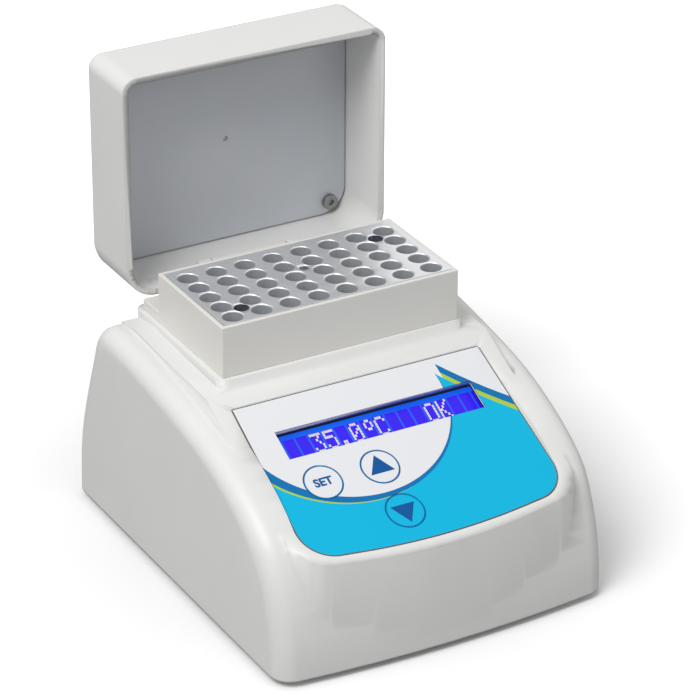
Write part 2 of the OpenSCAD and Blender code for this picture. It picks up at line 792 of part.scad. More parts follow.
module controller_chip() {
    color([0.12, 0.12, 0.13]) {
        translate([-12, -14, board_top + 0.3]) cube([12, 12, 1.4]);
        for (k = [0 : 7], s = [-1, 1]) {
            translate([-11.2 + k * 1.4, -8 + s * 6.5 - 0.7, board_top]) cube([0.5, 1.4, 0.6]);
        }
    }
}

module power_transistor() {
    color([0.12, 0.12, 0.13]) translate([sink_x + 6, sink_y, board_top]) {
        translate([0, -4.4, 1]) cube([10, 4.4, 14]);
        for (k = [-1 : 1]) translate([4.6 + k * 2.5, -2.6, 0]) cube([0.8, 0.6, 1.4]);
    }
}

module heat_sink() {
    color([0.3, 0.3, 0.32]) {
        translate([sink_x, sink_y, board_top]) cube([sink_w, sink_t, 20]);
        for (k = [0 : sink_fins - 1])
            translate([sink_x + k * (sink_w - fin_t) / (sink_fins - 1), sink_y + sink_t - 0.1, board_top])
                cube([fin_t, 3.4, 20]);
    }
}

module board_connectors() {
    color([0.9, 0.88, 0.8]) for (p = [heater_plug, display_plug, sensor_plug, power_plug])
        translate([p[0] - plug_w / 2, p[1] - plug_l / 2, board_top]) difference() {
            cube([plug_w, plug_l, plug_h]);
            translate([1, 1, plug_floor]) cube([plug_w - 2, plug_l - 2, plug_h]);
        }
}

module buzzer() {
    color([0.1, 0.1, 0.1]) translate([-30, -22, board_top]) difference() {
        cylinder(h = 6, r = 5);
        translate([0, 0, 4]) cylinder(h = 3, r = 1);
    }
}

module display_board() {
    color([0.1, 0.4, 0.22]) on_panel() difference() {
        translate([-display_board_w / 2, -4 - display_board_l, -board_drop - board_t])
            cube([display_board_w, display_board_l, board_t]);
        for (s = [-1, 1]) translate([s * 39, -8, -board_drop - 5]) cylinder(h = 10, r = 1.4);
    }
}

module display_frame() {
    color([0.62, 0.6, 0.55]) on_panel() difference() {
        translate([-frame_w / 2, -lcd_v - frame_l / 2, -board_drop])
            cube([frame_w, frame_l, board_drop + frame_top]);
        translate([0, 0, frame_top - glass_t - glass_deep]) linear_extrude(5) lcd_opening(glass_lap);
    }
}

module display_glass() {
    color([0.25, 0.15, 0.95]) on_panel() translate([0, 0, frame_top - glass_t - glass_deep])
        linear_extrude(glass_t) lcd_opening(glass_lap);
}

module panel_overlay() {
    color([0.9, 0.9, 0.91]) on_panel() translate([0, 0, -recess_d]) linear_extrude(overlay_t)
        difference() {
            overlay_plan(0);
            lcd_opening(0);
            for (s = key_spots) translate([s[0], -s[1]]) circle(key_r + key_hole_gap);
        }
}

module key_switches() {
    color([0.15, 0.15, 0.16]) on_panel() for (s = key_spots) translate([s[0], -s[1], -board_drop]) {
        translate([-switch_w / 2, -switch_w / 2, 0]) cube([switch_w, switch_w, switch_h]);
        cylinder(h = switch_h + button_h, r = button_r);
    }
}

// A membrane key: a printed disc with its plunger
module membrane_key(spot) {
    on_panel() translate([spot[0], -spot[1], -recess_d]) {
        cylinder(h = overlay_t, r = key_r);
        translate([0, 0, -key_stem_h]) cylinder(h = key_stem_h + eps, r = key_stem_r);
    }
}

module set_key() { color([0.9, 0.9, 0.91]) membrane_key(set_spot); }
module up_key() { color([0.9, 0.9, 0.91]) membrane_key(up_spot); }
module down_key() { color([0.05, 0.72, 0.88]) membrane_key(down_spot); }

module dc_socket() {
    color([0.12, 0.12, 0.13]) translate([socket_x, rear_pad_y, socket_z]) rotate([90, 0, 0]) {
        difference() {
            union() {
                translate([0, 0, -1.2]) cylinder(h = 1.2, r = jack_r + 1);
                cylinder(h = 16, r = jack_r);
            }
            translate([0, 0, -2]) cylinder(h = 12, r = 2.9);
        }
        translate([0, 0, 0.5]) cylinder(h = 10, r = 1.05);
    }
}

module socket_nut() {
    color("silver") translate([socket_x, rear_pad_y - rear_pad_in, socket_z]) rotate([90, 0, 0]) difference() {
        cylinder(h = 2.4, r = 6.8, $fn = 6);
        translate([0, 0, -1]) cylinder(h = 5, r = jack_r + 0.05);
    }
}

module switch_body() {
    color([0.1, 0.1, 0.1]) difference() {
        union() {
            translate([switch_x - switch_w_out / 2, rear_pad_y, socket_z - switch_h_out / 2])
                cube([switch_w_out, 1.4, switch_h_out]);
            translate([switch_x - switch_w_out / 2 + switch_lip, rear_pad_y - switch_deep,
                socket_z - switch_h_out / 2 + switch_lip])
                cube([switch_w_out - 2 * switch_lip, switch_deep + 0.5, switch_h_out - 2 * switch_lip]);
        }
        translate([switch_x, rocker_y, socket_z]) {
            bar_x(-rocker_w / 2 - fit_gap, rocker_w / 2 + fit_gap, rocker_r + 0.5);
            bar_x(-8.2, 8.2, rocker_pin_r + pin_play);
        }
    }
}

module power_rocker() {
    color([0.75, 0.1, 0.08]) translate([switch_x, rocker_y, socket_z]) rotate([rocker_off, 0, 0]) {
        intersection() {
            bar_x(-rocker_w / 2, rocker_w / 2, rocker_r);
            translate([-10, -10, -4.9]) cube([20, 14.8, 9.8]);
        }
        bar_x(-8, 8, rocker_pin_r);
    }
}

module heater_leads() {
    x = heater_plug[0];
    y = block_y - pad_l / 2;
    color([0.8, 0.1, 0.1]) for (s = [-1, 1]) lead(concat([
        [s * 2.5 + x, y - 0.1, heater_z0 - 0.7], [s * 2.5 + x, y - 1.2, heater_z0 - 0.7],
        [s * 2.5 + x, y - 4, heater_z0 - 3],
        [s * 2.5 + x, -22, 28]], into_plug(heater_plug, s * 1.5, 0)), 0.5);
}

module sensor_leads() {
    color([0.95, 0.95, 0.95]) for (s = [-1, 1]) lead(concat([
        [sensor_x1 + 0.1, block_y + s * 0.7, core_z], [sensor_x1 + 1.6, block_y + s * 0.7, core_z],
        [lead_x, block_y + s * 0.7, heater_z0 - 1],
        [lead_x, block_y - 10 + s * 0.7, lead_z]], into_plug(sensor_plug, s, 0)), 0.5);
}

module display_leads() {
    under = -board_drop - board_t;
    color([0.8, 0.8, 0.82]) for (k = [-2 : 2]) lead(concat([
        panel_point(display_plug[0] + k * 1.1, 40, under - 0.1),
        panel_point(display_plug[0] + k * 1.1, 40, under - 4),
        [display_plug[0] + k * 1.1, -34, 27]], into_plug(display_plug, k * 1.1, 0)), 0.45);
}

module power_leads() {
    color([0.15, 0.15, 0.15]) for (s = [-1, 1]) lead(concat([
        [switch_x + s * 4, rear_pad_y - switch_deep - 0.1, socket_z + 3],
        [switch_x + s * 4, rear_pad_y - switch_deep - 2.2, socket_z + 3],
        [switch_x - 14, sink_y + 7.2 + s * 0.9, socket_z + 7], [-lead_x, 30 + s * 0.9, lead_z - 4]],
        into_plug(power_plug, 0, s)), 0.6);
}

upper_housing();
base_plate();
rubber_feet();
base_screws();
block_surround();
hinge_tongue();
hinge_screws();
hinge_pin();
lid_shell();
lid_insulation();
lid_liner();
liner_screws();
heating_block();
block_screws();
heater_plate();
heater_pad();
under_insulation();
heater_posts();
post_screws();
temperature_sensor();
thermal_cutout();
main_board();
board_standoffs();
board_screws();
board_capacitors();
controller_chip();
power_transistor();
heat_sink();
board_connectors();
buzzer();
display_board();
display_frame();
display_glass();
panel_overlay();
key_switches();
set_key();
up_key();
down_key();
dc_socket();
socket_nut();
switch_body();
power_rocker();
heater_leads();
sensor_leads();
display_leads();
power_leads();
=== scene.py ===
import json
import math
import bmesh
import bpy
from mathutils import Matrix, Vector

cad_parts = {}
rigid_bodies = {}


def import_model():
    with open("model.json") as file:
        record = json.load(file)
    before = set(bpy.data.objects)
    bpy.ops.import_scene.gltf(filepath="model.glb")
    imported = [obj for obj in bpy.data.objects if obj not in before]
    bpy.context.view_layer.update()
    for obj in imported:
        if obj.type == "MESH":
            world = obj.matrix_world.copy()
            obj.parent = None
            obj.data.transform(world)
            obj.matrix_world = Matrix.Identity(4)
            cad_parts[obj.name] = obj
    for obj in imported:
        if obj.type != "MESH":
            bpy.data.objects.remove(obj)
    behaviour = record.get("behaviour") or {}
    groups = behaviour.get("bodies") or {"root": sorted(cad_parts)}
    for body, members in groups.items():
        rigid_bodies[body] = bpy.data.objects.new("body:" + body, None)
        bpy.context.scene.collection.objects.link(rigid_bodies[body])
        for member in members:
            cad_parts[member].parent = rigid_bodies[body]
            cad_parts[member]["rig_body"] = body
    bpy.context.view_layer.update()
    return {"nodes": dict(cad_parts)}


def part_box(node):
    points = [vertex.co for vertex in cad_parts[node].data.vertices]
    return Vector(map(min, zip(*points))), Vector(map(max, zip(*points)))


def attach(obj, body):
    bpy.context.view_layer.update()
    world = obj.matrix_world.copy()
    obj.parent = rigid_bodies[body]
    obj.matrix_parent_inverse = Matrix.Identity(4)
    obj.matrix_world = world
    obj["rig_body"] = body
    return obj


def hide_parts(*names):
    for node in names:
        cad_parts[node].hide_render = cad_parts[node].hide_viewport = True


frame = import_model()
nodes = frame["nodes"]
scene = bpy.context.scene

# --- Bench view ---
# The camera stands to the left of the front and looks down on the key panel and the open lid.
stand = (-0.440584, -0.787199, 0.530324)
azimuth, elevation, roll = (math.radians(a) for a in (-29.55179, 27.48367, 0.26891))
focal_px, picture_px, sensor_mm = 3629.632, 700, 36
lens = bpy.data.cameras.new("bench_camera")
lens.sensor_width = sensor_mm
lens.lens = focal_px / picture_px * sensor_mm
lens.clip_start = 0.05
camera = bpy.data.objects.new("bench_camera", lens)
camera.matrix_world = (Matrix.Translation(stand) @ Matrix.Rotation(azimuth, 4, "Z")
                       @ Matrix.Rotation(math.pi / 2 - elevation, 4, "X")
                       @ Matrix.Rotation(roll, 4, "Z"))
scene.collection.objects.link(camera)
scene.camera = camera
scene.view_settings.view_transform = "Standard"

# --- Housing ---
# The upper housing is injection moulded in light warm grey ABS with a fine spark texture. Patterns
# on its sloping key panel are measured in millimetres, across and down from the middle of the
# panel's upper edge.
millimetres = 1000
slope = math.radians(26)
panel_y, panel_z = -14.0, 59.0
# Size and place of the painted shade on the display window's walls, in panel millimetres.
shade_half_w, shade_v, shade_half_l = 32, 15.9, 5.2
shade_depth, shade_half_t = 2.4, 1.0
shell_grey, painted_shade_black = (226, 226, 224), (0.03, 0.03, 0.032)
weld_gap, flat_angle = 2e-6, math.radians(0.6)
corner_angle, corner_steps, even_weight = math.radians(40), 3, 60


class Value:
    """A shader socket that takes part in Python arithmetic."""

    def __init__(self, paint, socket):
        self.paint, self.socket = paint, socket

    def math(self, operation, *others):
        return self.paint.add("Math", {"operation": operation}, [self, *others])

    def __add__(self, other):
        return self.math("ADD", other)

    def __sub__(self, other):
        return self.math("SUBTRACT", other)

    def __mul__(self, other):
        return self.math("MULTIPLY", other)

    def __truediv__(self, other):
        return self.math("DIVIDE", other)

    def __rsub__(self, other):
        return self.paint.add("Math", {"operation": "SUBTRACT"}, [other, self])

    __radd__, __rmul__ = __add__, __mul__

    def below(self, limit):
        return self.math("LESS_THAN", limit)

    def above(self, limit):
        return self.math("GREATER_THAN", limit)

    def abs(self):
        return self.math("ABSOLUTE")

    def root(self):
        return self.math("SQRT")

    def squared(self):
        return self * self

    def span(self, low, high):
        return self * (high - low) + low


class Paint:
    """One material, built node by node round its Principled shader."""

    def __init__(self, name):
        self.material = bpy.data.materials.new(name)
        self.material.use_nodes = True
        self.tree = self.material.node_tree
        self.shader = self.tree.nodes["Principled BSDF"]

    def set(self, **values):
        for key, value in values.items():
            self.link(self.shader.inputs[key.replace("_", " ")], value)
        return self

    def link(self, socket, value):
        if isinstance(value, Value):
            self.tree.links.new(value.socket, socket)
        elif socket.type == "RGBA" and len(value) == 3:
            socket.default_value = (*value, 1)
        else:
            socket.default_value = value

    def add(self, kind, settings=None, values=(), out=0):
        node = self.tree.nodes.new("ShaderNode" + kind)
        for key, value in (settings or {}).items():
            setattr(node, key, value)
        pairs = values.items() if isinstance(values, dict) else enumerate(values)
        for key, value in pairs:
            self.link(node.inputs[key], value)
        return Value(self, node.outputs[out])

    def place(self):
        return self.add("TexCoord", out="Object")

    def axes(self):
        split = self.add("SeparateXYZ", None, [self.place()]).socket.node
        return [Value(self, axis) * millimetres for axis in split.outputs]

    def noise(self, scale, detail=3.0, roughness=0.55, stretch=(1, 1, 1)):
        spot = self.add("Mapping", None, {"Vector": self.place(), "Scale": stretch})
        return self.add("TexNoise", None, {"Vector": spot, "Scale": scale, "Detail": detail,
                                           "Roughness": roughness})

    def mix(self, factor, a, b):
        return self.add("Mix", {"data_type": "RGBA"}, {0: factor, 6: a, 7: b}, out=2)

    def bump(self, height, strength, distance, corner=0.0):
        values = {"Strength": strength, "Distance": distance, "Height": height}
        if corner:
            values["Normal"] = self.add("Bevel", {"samples": 6}, {"Radius": corner})
        return self.add("Bump", None, values)


def srgb(*rgb):
    return tuple(((c / 255 + 0.055) / 1.055) ** 2.4 if c > 10 else c / 255 / 12.92 for c in rgb)


def moulded(name, colour, gloss, corner=0.0, shaded=None):
    paint = Paint(name)
    cloud = paint.noise(45, 4)
    grain = paint.noise(2600, 2, 0.6)
    ground = paint.mix(cloud, tuple(c * 0.94 for c in colour), colour)
    # Where shaded marks a place, near black painted shade covers the plastic's colour.
    if shaded:
        ground = paint.mix(shaded(paint), ground, painted_shade_black)
    return paint.set(Base_Color=ground, IOR=1.47,
                     Roughness=(cloud * 0.6 + grain * 0.4).span(gloss - 0.06, gloss + 0.1),
                     Normal=paint.bump(grain, 0.09, 0.00008, corner)).material


def dressed(node, material, corner=0.0, crease=32):
    """A merged copy of a CAD node's mesh, smooth over round faces, shown in the node's place."""
    source = nodes[node]
    mesh = bpy.data.meshes.new("shown_" + node)
    copy = bmesh.new()
    copy.from_mesh(source.data)
    bmesh.ops.remove_doubles(copy, verts=copy.verts, dist=weld_gap)
    bmesh.ops.dissolve_degenerate(copy, edges=copy.edges, dist=weld_gap)
    if corner:
        bmesh.ops.dissolve_limit(copy, angle_limit=flat_angle, verts=copy.verts,
                                 edges=copy.edges, delimit=set())
    copy.to_mesh(mesh)
    copy.free()
    mesh.shade_smooth()
    mesh.set_sharp_from_angle(angle=math.radians(crease))
    mesh.materials.append(material)
    piece = bpy.data.objects.new("shown_" + node, mesh)
    scene.collection.objects.link(piece)
    if corner:
        edge = piece.modifiers.new("edge", "BEVEL")
        edge.width, edge.segments = corner, corner_steps
        edge.limit_method, edge.angle_limit = "ANGLE", corner_angle
    even = piece.modifiers.new("even", "WEIGHTED_NORMAL")
    even.keep_sharp, even.weight = True, even_weight
    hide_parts(node)
    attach(piece, source["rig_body"])
    return piece


def panel_place(paint):
    """Across, down and out of the slope of the key panel, in millimetres."""
    x, y, z = paint.axes()
    down = (panel_y - y) * math.cos(slope) + (panel_z - z) * math.sin(slope)
    return x, down, (z - panel_z) * math.cos(slope) - (y - panel_y) * math.sin(slope)


def painted_window_shade(paint):
    """The lower half of the display window's side walls, where near black is painted as shade in
    the recess.
    """
    x, v, out = panel_place(paint)
    return (x.abs().below(shade_half_w) * (v - shade_v).abs().below(shade_half_l)
            * (out + shade_depth).abs().below(shade_half_t))


# The walls of the housing's display window carry near black painted shade low in the recess.
housing_plastic = moulded("housing_plastic", srgb(*shell_grey), 0.4, 0.0008, painted_window_shade)
dressed("upper_housing", housing_plastic, crease=38)


# --- Base plate, feet and case screws ---
# The flat base plate is moulded in the same plastic, with two rows of air slots. Four rubber feet
# are stuck to it, and four countersunk screws go up through it into the housing's posts.
def rubbery(name, colour, rough=0.75):
    paint = Paint(name)
    dust = paint.noise(260, 5)
    pores = paint.noise(3000, 2)
    dusty = tuple(c * 1.9 + 0.01 for c in colour)
    return paint.set(Base_Color=paint.mix(dust, colour, dusty), IOR=1.5,
                     Roughness=dust.span(rough, rough + 0.15),
                     Normal=paint.bump(pores, 0.25, 0.00006)).material


def steely(name, colour, rough=0.3, turns=(1, 1, 12)):
    paint = Paint(name)
    lines = paint.noise(900, 3, 0.6, turns)
    stained = tuple(c * 0.86 for c in colour)
    return paint.set(Base_Color=paint.mix(paint.noise(120, 3), stained, colour), Metallic=1.0,
                     Roughness=lines.span(rough - 0.08, rough + 0.12),
                     Normal=paint.bump(lines, 0.08, 0.00004, 0.0001)).material


def finish(material, *names):
    for name in names:
        mesh = nodes[name].data
        mesh.materials.clear()
        mesh.materials.append(material)


plate_plastic = moulded("plate_plastic", srgb(196, 195, 190), 0.5, 0.0002)
dressed("base_plate", plate_plastic)
dressed("rubber_feet", rubbery("foot_rubber", (0.022, 0.022, 0.023)), 0.0003)
zinc = steely("zinc_plated_steel", (0.63, 0.64, 0.66))
finish(zinc, "base_screws", "hinge_screws", "post_screws", "board_screws", "heater_posts",
       "socket_nut")

# --- Block surround and hinge tongue ---
# A square-edged sleeve frames the block above the housing, with a low ledge behind it. The hinge
# tongue is a separate moulding, screwed down in the middle of the ledge, and holds the hinge pin.
surround_plastic = moulded("surround_plastic", srgb(226, 224, 219), 0.36)
dressed("block_surround", surround_plastic, 0.00035)
dressed("hinge_tongue", surround_plastic, 0.0003)
finish(steely("hinge_pin_steel", (0.6, 0.6, 0.61), 0.22, (12, 1, 1)), "hinge_pin")


# --- Lid ---
# A deep moulded cap, rounded most at its hinge side. A painted steel liner closes its inside in
# front of a foam sheet, and four socket screws hold the liner to posts in the cap.
def foamed(name, colour):
    paint = Paint(name)
    cells = paint.add("TexVoronoi", {"feature": "F1"}, {"Vector": paint.place(), "Scale": 1400.0})
    return paint.set(Base_Color=paint.mix(cells, colour, tuple(c * 0.8 for c in colour)),
                     Roughness=0.9, Normal=paint.bump(cells, 0.5, 0.0002)).material


lid_plastic = moulded("lid_plastic", srgb(225, 225, 223), 0.4, 0.0006)
dressed("lid_shell", lid_plastic, crease=30)
finish(foamed("pale_foam", (0.82, 0.8, 0.72)), "lid_insulation", "under_insulation")
liner = Paint("liner_paint")
swirl = liner.noise(700, 4, 0.6, (1, 1, 6))
haze = liner.noise(30, 3)
liner.set(Base_Color=liner.mix(haze, srgb(186, 190, 197), srgb(200, 203, 208)), Metallic=0.2,
          Roughness=swirl.span(0.38, 0.5), Normal=liner.bump(swirl, 0.05, 0.00005, 0.0002))
dressed("lid_liner", liner.material, 0.0002)
liner_screw_steel = steely("liner_screw_steel", (0.3, 0.3, 0.3))
dressed("liner_screws", liner_screw_steel, 0.00015)

# --- Tube block ---
# The block is machined from aluminium, bead blasted and clear anodised. Its drilled wells keep the
# turning marks of the tool. A black screw stands far down between the wells at two opposite
# corners, and a small bore for a thermometer near the middle. The walls of these holes are painted
# dark, as painted shade down in the holes.
well_y, pitch_x, pitch_y = 13.0, 9.0, 6.72
block_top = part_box("heating_block")[1][2] * millimetres
mark_top, wall_top, hole_top = block_top - 0.3, block_top - 0.45, block_top - 0.02
screw_hole_r, small_bore_r, small_bore_shade = 2.32, 1.35, 0.7
turns_per_mm = 9
block = Paint("blasted_aluminium")
blast = block.noise(3400, 2, 0.7)
tone = block.noise(60, 4)
x, y, z = block.axes()
rings = (z * turns_per_mm).math("SINE") * z.below(mark_top)
inside = z.below(wall_top)


def bored(x0, y0, radius):
    across = ((x - x0).squared() + (y - y0).squared()).root()
    return across.below(radius) * z.below(hole_top)


# Painted shade: the walls of the two screw holes are painted dark, and those of the small bore less
# so.
painted_hole_shade = (bored(-3 * pitch_x, well_y - 1.5 * pitch_y, screw_hole_r)
        + bored(3 * pitch_x, well_y + 1.5 * pitch_y, screw_hole_r)
        + bored(0, well_y + 0.5 * pitch_y, small_bore_r) * small_bore_shade)
face = block.mix(tone, srgb(222, 223, 225), srgb(238, 239, 240))
walls = block.mix(inside, face, srgb(190, 193, 197))
block.set(Base_Color=block.mix(painted_hole_shade, walls, srgb(104, 110, 118)),
          Metallic=0.85 - inside * 0.4, Roughness=blast.span(0.34, 0.5) - inside * 0.08,
          Normal=block.bump(blast * 0.8 + rings * 0.12, 0.16, 0.00008, 0.0001))
dressed("heating_block", block.material, crease=28)
finish(steely("black_oxide_steel", (0.05, 0.05, 0.055), 0.35), "block_screws", "heat_sink")
finish(steely("heater_aluminium", (0.72, 0.73, 0.75), 0.38), "heater_plate")
finish(rubbery("heater_silicone", (0.42, 0.1, 0.03), 0.55), "heater_pad")
finish(steely("probe_steel", (0.6, 0.6, 0.62), 0.25, (14, 1, 1)), "temperature_sensor")

# --- Printed overlay ---
# A polyester film, printed on its back, is glued in a shallow recess. A white oval field lies round
# the display, then a blue edge, a thin lime line and a cyan field. The edge and the line fan out as
# stripes on the right. A grey line round the film is painted shade, the shadow of the gap between
# the film and its recess.
ink_white, ink_cyan = srgb(226, 227, 230), srgb(0, 178, 219)
ink_blue, ink_lime, gap_shade_grey = srgb(0, 110, 172), srgb(170, 198, 60), srgb(96, 98, 98)
white_oval = {"middle": (-10, 8), "half": (32.4, 30.2)}
blue_oval = {"middle": (-11.3, 8.6), "half": (33.9, 31.2)}
lime_oval = {"middle": (-12.0, 8.6), "half": (34.0, 31.4)}
fan_x, fan_v, fan_rise, fan_bend = 23.95, 2.21, 1.235, 0.011
fan_end, fan_lime = 5.25, 3.2
# The first width below is that of the grey line painted as shade along the film's outline.
gap_shade_w, edge_half_w, edge_flare = 0.28, 39.3, 0.0276
turn_x, turn_v, turn_r = 30.5, 43.4, 10
bow_v, bow_r = 156.9, 212.5


def past_oval(x, v, middle, half):
    across, down = (x - middle[0]) / half[0], (v - middle[1]) / half[1]
    return (across.squared() + down.squared()).root().above(1)


def film(paint, colour):
    ripple = paint.noise(90, 2)
    grain = paint.noise(3600, 2)
    return paint.set(Base_Color=colour, IOR=1.5, Specular_IOR_Level=0.2,
                     Roughness=(grain * 0.5 + ripple * 0.5).span(0.3, 0.44),
                     Normal=paint.bump(grain, 0.035, 0.00004)).material


overlay = Paint("overlay_film")
x, v, _ = panel_place(overlay)
past_white = past_oval(x, v, **white_oval)
past_blue, past_lime = past_oval(x, v, **blue_oval), past_oval(x, v, **lime_oval)
run = x - fan_x
fan = v - run * (fan_rise - run * fan_bend) - fan_v
past_fan = fan.above(fan_end).math("MAXIMUM", fan.above(0) * x.above(fan_x))
accent = overlay.mix(past_blue, ink_blue, overlay.mix(past_lime, ink_lime, ink_cyan))
stripes = overlay.mix(fan.below(fan_lime), ink_lime, ink_blue)
accent = overlay.mix(fan.below(fan_end), accent, stripes)
printed = overlay.mix(past_white * past_fan, ink_white, accent)
# The grey line along the film's outline is painted shade, the shadow of the gap between film and
# recess.
side, foot = x.abs() - (v * edge_flare + edge_half_w), v - turn_v
turn = ((x.abs() - turn_x).squared() + foot.squared()).root() - turn_r
bow = (x.squared() + (v + bow_v).squared()).root() - bow_r
gap_shade_line = sum([v.below(gap_shade_w), side.above(-gap_shade_w) * foot.below(0),
              turn.above(-gap_shade_w) * foot.above(0) * x.abs().above(turn_x),
              bow.above(-gap_shade_w) * x.abs().below(turn_x)]).math("MINIMUM", 1)
overlay_film = film(overlay, overlay.mix(gap_shade_line, printed, gap_shade_grey))
dressed("panel_overlay", overlay_film)

# --- Membrane keys ---
# Each key is a round area of the film over a dome switch, with a thin printed ring. SET is
# lettered, and the other two carry an arrow up and an arrow down.
ink_ring, ink_glyph = srgb(0, 110, 170), srgb(0, 82, 148)
set_spot, up_spot, down_spot = (-25.5, 29.9), (-7.8, 29.9), (-7.8, 45.3)
ring_r, arrow_foot, arrow_tip, arrow_spread = 5.2, 2.05, 4.05, 0.61
letter_size, letter_weight, letter_t, letter_drop = 0.0036, 0.00014, 0.00001, 0.13


def key_film(name, spot, ground, arrow=0):
    paint = Paint(name)
    x, v, _ = panel_place(paint)
    across, down = x - spot[0], v - spot[1]
    ring = (across.squared() + down.squared()).root().above(ring_r)
    if arrow:
        flank = across.abs() - (down * arrow + arrow_tip) * arrow_spread
        ground = paint.mix((down * arrow).below(arrow_foot) * flank.below(0), ground, ink_glyph)
    return film(paint, paint.mix(ring, ground, ink_ring))


def on_panel(across, down, out):
    """A matrix that lays a flat piece on the panel, in metres."""
    spot = Vector((across, panel_y - down * math.cos(slope) - out * math.sin(slope),
                   panel_z - down * math.sin(slope) + out * math.cos(slope))) / millimetres
    return Matrix.Translation(spot) @ Matrix.Rotation(slope, 4, "X")


def printed_word(name, text, spot, ink):
    word = bpy.data.curves.new(name, "FONT")
    word.body, word.size, word.offset, word.extrude = text, letter_size, letter_weight, letter_t
    word.align_x, word.align_y = "CENTER", "CENTER"
    drawn = bpy.data.objects.new(name + "_curve", word)
    scene.collection.objects.link(drawn)
    seen = drawn.evaluated_get(bpy.context.evaluated_depsgraph_get())
    mesh = bpy.data.meshes.new_from_object(seen)
    bpy.data.objects.remove(drawn)
    mesh.name = name
    mesh.transform(on_panel(*spot, -letter_drop))
    mesh.materials.clear()
    mesh.materials.append(ink)
    piece = bpy.data.objects.new(name, mesh)
    scene.collection.objects.link(piece)
    return piece


finish(key_film("set_key_film", set_spot, ink_white), "set_key")
finish(key_film("up_key_film", up_spot, ink_white, 1), "up_key")
finish(key_film("down_key_film", down_spot, ink_cyan, -1), "down_key")
blue_ink = Paint("blue_ink")
film(blue_ink, blue_ink.mix(blue_ink.noise(500), srgb(0, 80, 142), srgb(0, 96, 160)))
letters = printed_word("set_letters", "SET", set_spot, blue_ink.material)
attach(letters, "set_key")

# --- Character display ---
# A blue backlit module of one row stands below its window in the housing. Lit dots make up the
# characters, paler blue shows between the cells, and its upper margin is painted near black as
# the shade under the window's upper edge.
cell_x, cell_v, cell_pitch, cell_w, shaded_margin_v = -28.9, 12.2, 4.0, 3.45, 10.6
dot_x, dot_v, dot_w, dot_l, dot_t, dot_rise = 0.42, 0.6, 0.56, 0.82, 0.03, 0.02
column, row = 0.66, 0.94
housing_wall, frame_gap, glass_sunk = 2.2, 0.3, 0.6
glass_depth = housing_wall + frame_gap + glass_sunk
dot_rows = {"3": ("11111", "00010", "00100", "00010", "00001", "10001", "01110"),
            "5": ("11111", "10000", "11110", "00001", "00001", "10001", "01110"),
            ".": ("00000", "00000", "00000", "00000", "00000", "01100", "01100"),
            "0": ("01110", "10001", "10011", "10101", "11001", "10001", "01110"),
            "o": ("00110", "01001", "01001", "00110", "00000", "00000", "00000"),
            "C": ("01110", "10001", "10000", "10000", "10000", "10001", "01110"),
            "O": ("01110", "10001", "10001", "10001", "10001", "10001", "01110"),
            "K": ("10001", "10010", "10100", "11000", "10100", "10010", "10001")}
shown = {2: "3", 3: "5", 4: ".", 5: "0", 6: "o", 7: "C", 11: "O", 12: "K"}

glass = Paint("display_glass")
x, v, _ = panel_place(glass)
along = ((x - cell_x) / cell_pitch).math("FRACT") * cell_pitch
in_cell = along.below(cell_w) * v.above(cell_v) * x.above(cell_x)
glow = glass.noise(40, 2)
between = glass.mix(glow, srgb(0, 60, 236), srgb(0, 120, 250))
# Above the characters the glass is painted near black, as painted shade under the window's edge.
backlight = glass.mix(v.below(shaded_margin_v), glass.mix(in_cell, between, srgb(48, 0, 250)),
                      (0.01, 0.01, 0.02))
glass.set(Base_Color=(0.01, 0.01, 0.03), Emission_Color=backlight, Emission_Strength=0.9,
          Roughness=glow.span(0.2, 0.3), IOR=1.5, Specular_IOR_Level=0.2)
finish(glass.material, "display_glass")
cream = Paint("lit_dots")
warm = cream.mix(cream.noise(200), srgb(206, 200, 190), srgb(222, 216, 202))
cream.set(Base_Color=warm, Emission_Color=warm, Emission_Strength=0.2,
          Roughness=cream.noise(600).span(0.3, 0.45))
dot_size = Matrix.Diagonal((dot_w / millimetres, dot_l / millimetres, dot_t / millimetres, 1))
dots = bmesh.new()
for cell, letter in shown.items():
    for down, line in enumerate(dot_rows[letter]):
        for across, bit in enumerate(line):
            if bit == "1":
                spot = on_panel(cell_x + cell * cell_pitch + dot_x + across * column,
                                cell_v + dot_v + down * row, dot_rise - glass_depth)
                bmesh.ops.create_cube(dots, size=1, matrix=spot @ dot_size)
mesh = bpy.data.meshes.new("display_dots")
dots.to_mesh(mesh)
dots.free()
mesh.materials.append(cream.material)
piece = bpy.data.objects.new("display_dots", mesh)
scene.collection.objects.link(piece)
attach(piece, "base")
# The display frame is coloured near black as painted shade, for the dark gap round the module.
finish(steely("bezel_painted_shade", (0.05, 0.05, 0.05), 0.4), "display_frame")

# --- Circuit boards and what stands on them ---
# Two glass-epoxy boards under green solder resist: the display board below the panel and the main
# board on brass standoffs. Plain black, white and sleeved components are soldered to them.
tracks_per_mm, track_share = 0.9, 0.22


def resist(name):
    paint = Paint(name)
    x = paint.axes()[0]
    track = (x * tracks_per_mm).math("FRACT").below(track_share) * paint.noise(70).above(0.52)
    weave = paint.noise(1600, 2, 0.6, (1, 8, 1))
    return paint.set(Base_Color=paint.mix(track, srgb(8, 84, 44), srgb(26, 118, 66)),
                     Roughness=weave.span(0.28, 0.42), IOR=1.5,
                     Normal=paint.bump(track * 0.7 + weave * 0.3, 0.12, 0.00006)).material


finish(resist("solder_resist"), "main_board", "display_board")
finish(steely("standoff_brass", (0.72, 0.52, 0.24), 0.28), "board_standoffs")
black_part = rubbery("black_component", (0.018, 0.018, 0.02), 0.5)
finish(black_part, "controller_chip", "power_transistor", "buzzer", "thermal_cutout",
       "key_switches")
finish(moulded("plug_nylon", (0.74, 0.71, 0.62), 0.5), "board_connectors")
finish(moulded("capacitor_sleeve", (0.02, 0.035, 0.11), 0.3, 0.0002), "board_capacitors")

